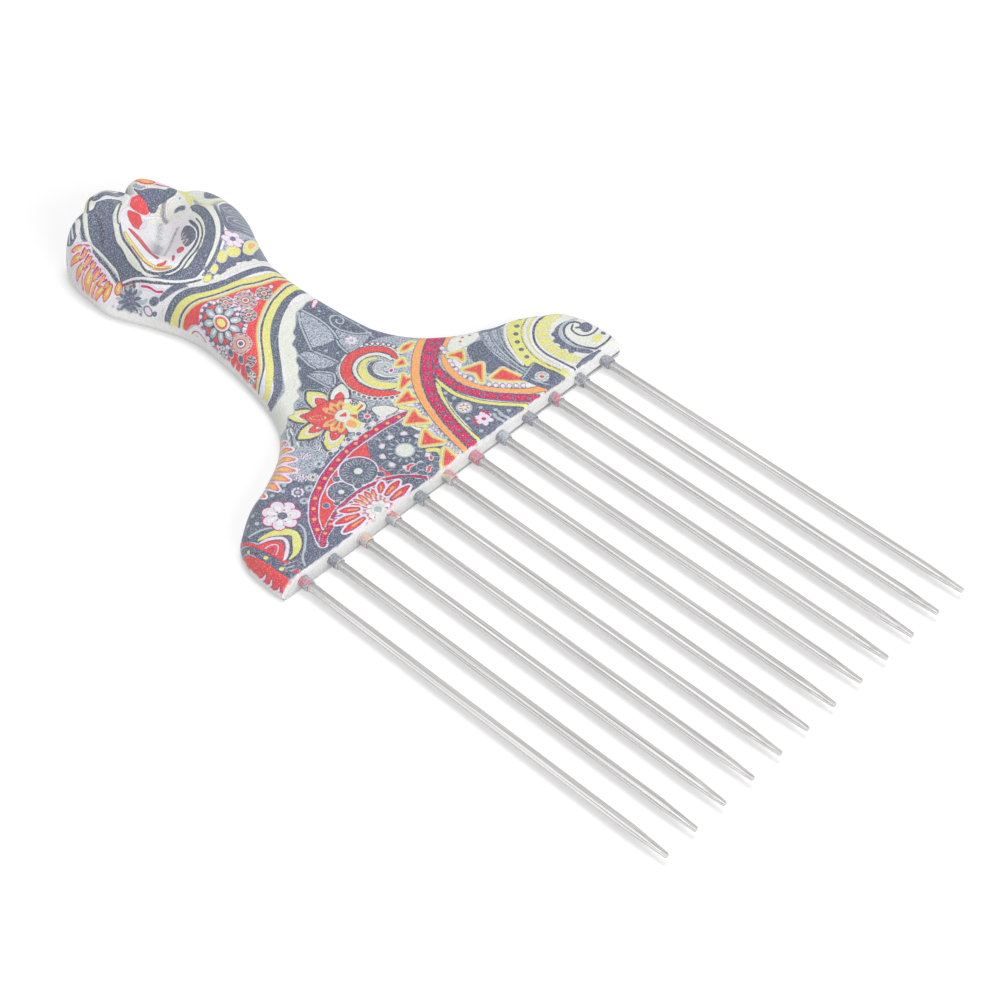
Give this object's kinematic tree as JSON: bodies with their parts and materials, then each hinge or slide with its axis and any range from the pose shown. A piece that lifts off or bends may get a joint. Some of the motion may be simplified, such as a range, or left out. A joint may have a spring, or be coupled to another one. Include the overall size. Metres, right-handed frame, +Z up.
{
  "type": "afro pick",
  "caption": "Hair pick with a row of straight steel pins moulded into a printed plastic handle that ends in a raised fist.",
  "frame": {"origin": "on the flat underside, under the middle of the whole object's length and width", "axes": "+Y from the pins' tips towards the fist, +X across the row of pins, +Z up out of the flat underside through the printed top"},
  "size_m": [0.082, 0.1693, 0.014],
  "materials": {
    "printed_plastic": "satin white moulding with a multicolour paisley transfer print on its top and sides",
    "steel": "satin drawn wire, grained lengthwise"
  },
  "bodies": {
    "root": {"handle": "printed_plastic", "pin_01": "steel", "pin_02": "steel", "pin_03": "steel", "pin_04": "steel", "pin_05": "steel", "pin_06": "steel", "pin_07": "steel", "pin_08": "steel", "pin_09": "steel", "pin_10": "steel", "pin_11": "steel", "pin_12": "steel"}
  },
  "joints": []
}
